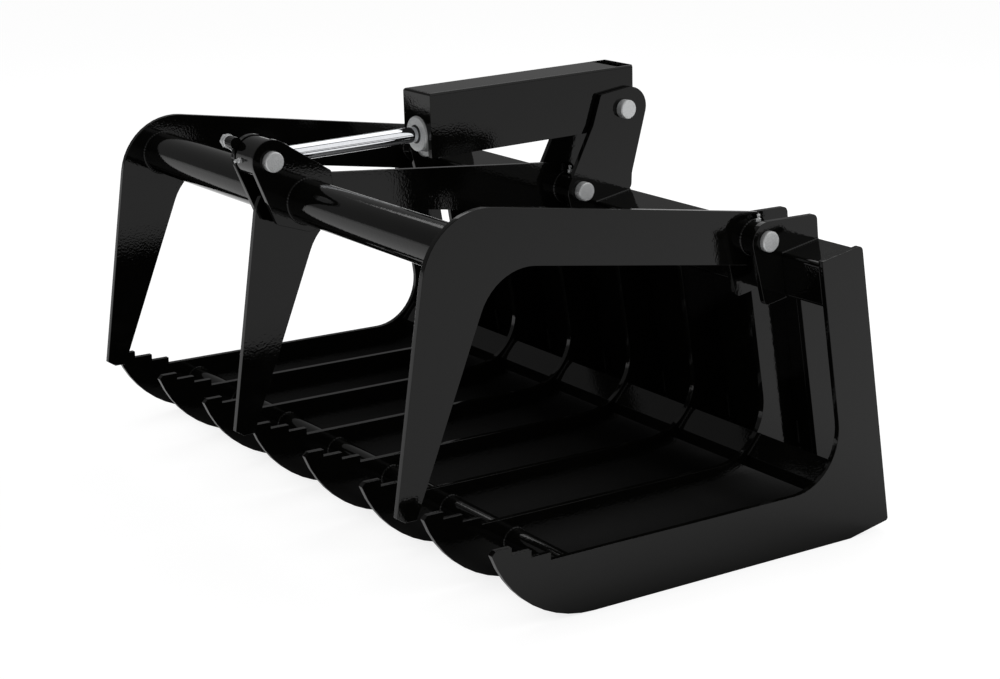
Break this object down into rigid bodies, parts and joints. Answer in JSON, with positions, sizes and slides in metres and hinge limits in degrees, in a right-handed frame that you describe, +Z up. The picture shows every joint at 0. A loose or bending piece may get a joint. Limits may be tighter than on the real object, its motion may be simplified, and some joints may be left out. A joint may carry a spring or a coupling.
{
  "type": "root grapple",
  "caption": "Rake of thick plate tines under a hydraulic clamp with plate arms, hinged to a top rail, with a quick-attach plate behind.",
  "frame": {"origin": "on the ground, in the middle of the outline seen from above", "axes": "+X across the width to the right end seen from behind the noses, +Y from the noses to the attachment plate, +Z up"},
  "size_m": [1.524, 1.0966, 0.8481],
  "materials": {
    "gloss_black_paint": "gloss black powder coat",
    "zinc": "bright zinc plate",
    "chrome_rod": "polished hard chrome",
    "piston_steel": "machined steel"
  },
  "bodies": {
    "rake": {"tine_1": "gloss_black_paint", "tine_2": "gloss_black_paint", "tine_3": "gloss_black_paint", "tine_4": "gloss_black_paint", "tine_5": "gloss_black_paint", "tine_6": "gloss_black_paint", "tine_7": "gloss_black_paint", "tine_8": "gloss_black_paint", "top_rail": "gloss_black_paint", "front_pipe": "gloss_black_paint", "heel_bar_1": "gloss_black_paint", "heel_bar_2": "gloss_black_paint", "heel_bar_3": "gloss_black_paint", "heel_bar_4": "gloss_black_paint", "heel_bar_5": "gloss_black_paint", "heel_bar_6": "gloss_black_paint", "heel_bar_7": "gloss_black_paint", "attach_plate": "gloss_black_paint", "attach_lip": "gloss_black_paint", "attach_ledge": "gloss_black_paint", "attach_side_right": "gloss_black_paint", "attach_side_left": "gloss_black_paint", "lug_right_outer": "gloss_black_paint", "lug_right_inner": "gloss_black_paint", "lug_left_inner": "gloss_black_paint", "lug_left_outer": "gloss_black_paint", "bracket_right": "gloss_black_paint", "bracket_left": "gloss_black_paint", "hinge_pin_right": "zinc", "hinge_pin_centre": "zinc", "hinge_pin_left": "zinc", "base_pin": "zinc", "keeper_bolts": "zinc"},
    "clamp": {"arm_right": "gloss_black_paint", "arm_centre": "gloss_black_paint", "arm_left": "gloss_black_paint", "hub_right": "gloss_black_paint", "hub_centre": "gloss_black_paint", "hub_left": "gloss_black_paint", "hub_nipples": "zinc", "cross_tube": "gloss_black_paint", "ear_right": "gloss_black_paint", "ear_left": "gloss_black_paint", "rod_pin": "zinc", "rod_pin_bolt": "zinc"},
    "cylinder": {"barrel": "gloss_black_paint", "gland": "zinc", "base_eye": "gloss_black_paint", "base_nipple": "zinc", "cover": "gloss_black_paint"},
    "rod": {"rod": "chrome_rod", "piston": "piston_steel", "piston_nut": "piston_steel", "rod_eye": "gloss_black_paint", "rod_nipple": "zinc"}
  },
  "joints": [
    {"name": "clamp_hinge", "type": "hinge", "parent": "rake", "child": "clamp", "pos_m": [0, 0.25773, 0.59401], "axis": [-1, 0, 0], "range_deg": [0, 50]},
    {"name": "cylinder_pivot", "type": "hinge", "parent": "rake", "child": "cylinder", "pos_m": [0, 0.36573, 0.75901], "axis": [-1, 0, 0], "range_deg": [0, 47.5]},
    {"name": "rod_slide", "type": "slide", "parent": "cylinder", "child": "rod", "axis": [0, 0.9994, 0.0335], "range_m": [0, 0.163]}
  ],
  "couplings": [
    {"joint": "cylinder_pivot", "follows": "clamp_hinge", "ratio": 0.9318},
    {"joint": "rod_slide", "follows": "clamp_hinge", "m_per_rad": 0.1845}
  ]
}
